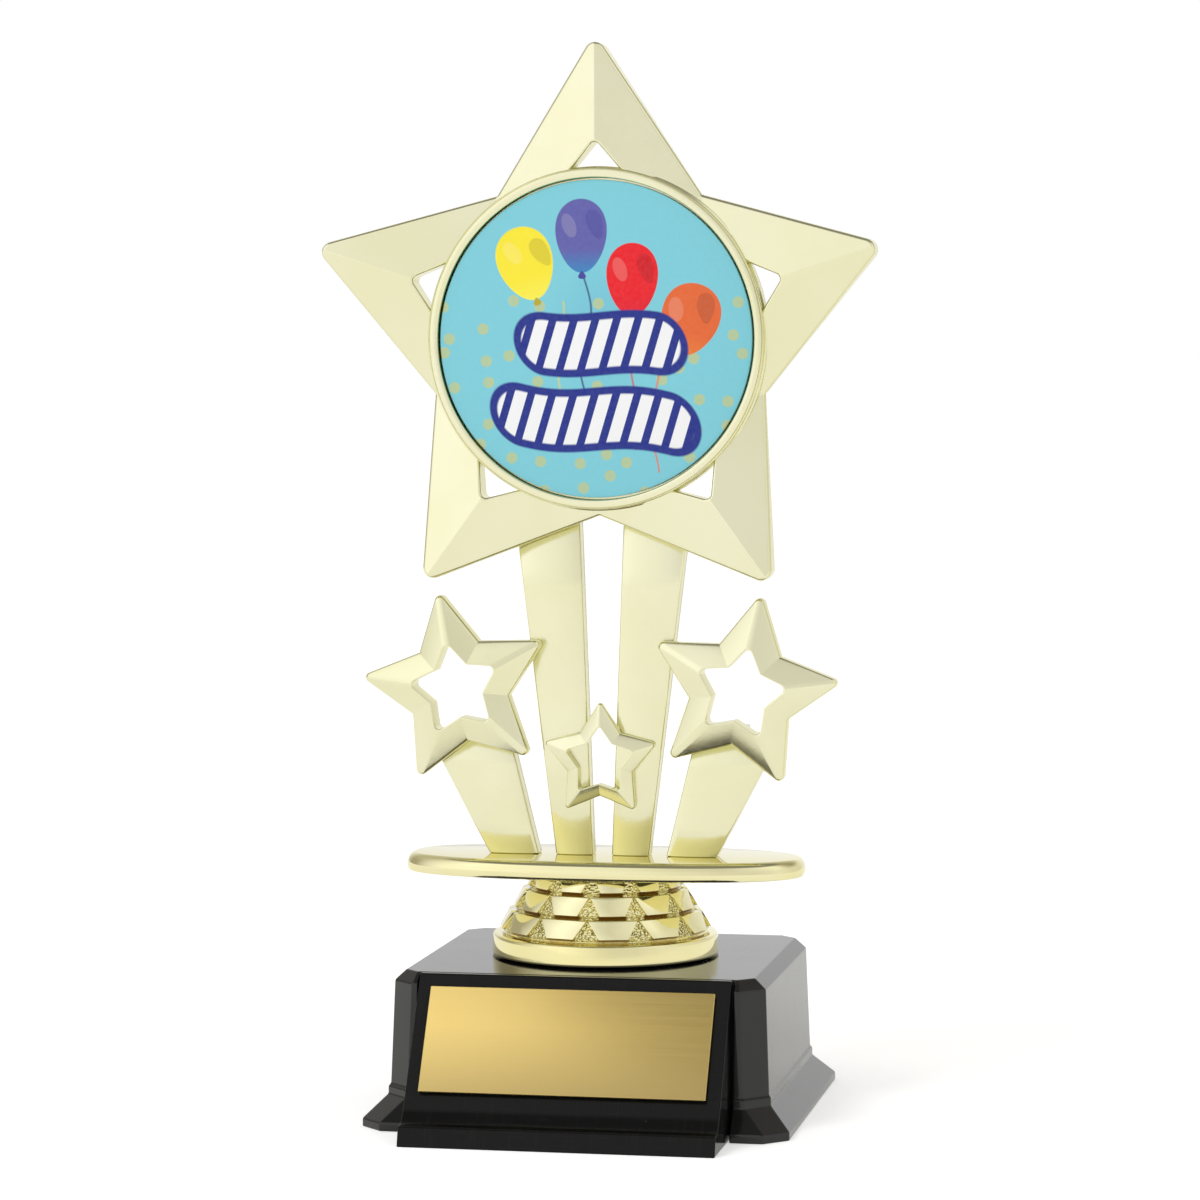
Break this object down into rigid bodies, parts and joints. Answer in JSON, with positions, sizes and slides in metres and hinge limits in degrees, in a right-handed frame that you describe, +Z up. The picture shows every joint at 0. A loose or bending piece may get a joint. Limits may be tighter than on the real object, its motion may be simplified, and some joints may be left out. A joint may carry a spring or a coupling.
{
  "type": "star trophy",
  "caption": "Star-figure trophy: plated star with round printed insert, small stars and rays on an oval plate, riser and black base with plaque panel.",
  "frame": {"origin": "on the axis of the threaded rod, at the underside that the trophy stands on", "axes": "+Z up along the rod, -Y towards the front with the plaque and the printed insert, +X to the right seen from the front"},
  "size_m": [0.088, 0.0722, 0.1682],
  "materials": {
    "champagne_gold_plating": "satin bright",
    "bright_gold_plating": "mirror",
    "gloss_black_plastic": "gloss",
    "satin_gold_plaque": "satin",
    "printed_sky_blue": "semi-gloss",
    "zinc_plated_steel": "satin",
    "black_felt": "matt",
    "foam_tape": "matt"
  },
  "bodies": {
    "root": {"star_head": "champagne_gold_plating", "printed_insert": "printed_sky_blue", "insert_tape": "foam_tape", "left_ray": "champagne_gold_plating", "right_ray": "champagne_gold_plating", "left_tail": "champagne_gold_plating", "right_tail": "champagne_gold_plating", "left_star": "champagne_gold_plating", "right_star": "champagne_gold_plating", "centre_star": "champagne_gold_plating", "oval_plate": "champagne_gold_plating", "captive_nut": "zinc_plated_steel", "riser": "bright_gold_plating", "threaded_rod": "zinc_plated_steel", "base_shell": "gloss_black_plastic", "front_panel": "gloss_black_plastic", "plaque": "satin_gold_plaque", "plaque_tape": "foam_tape", "ballast_weight": "zinc_plated_steel", "washer": "zinc_plated_steel", "hex_nut": "zinc_plated_steel", "underside_pad": "black_felt"}
  },
  "joints": []
}
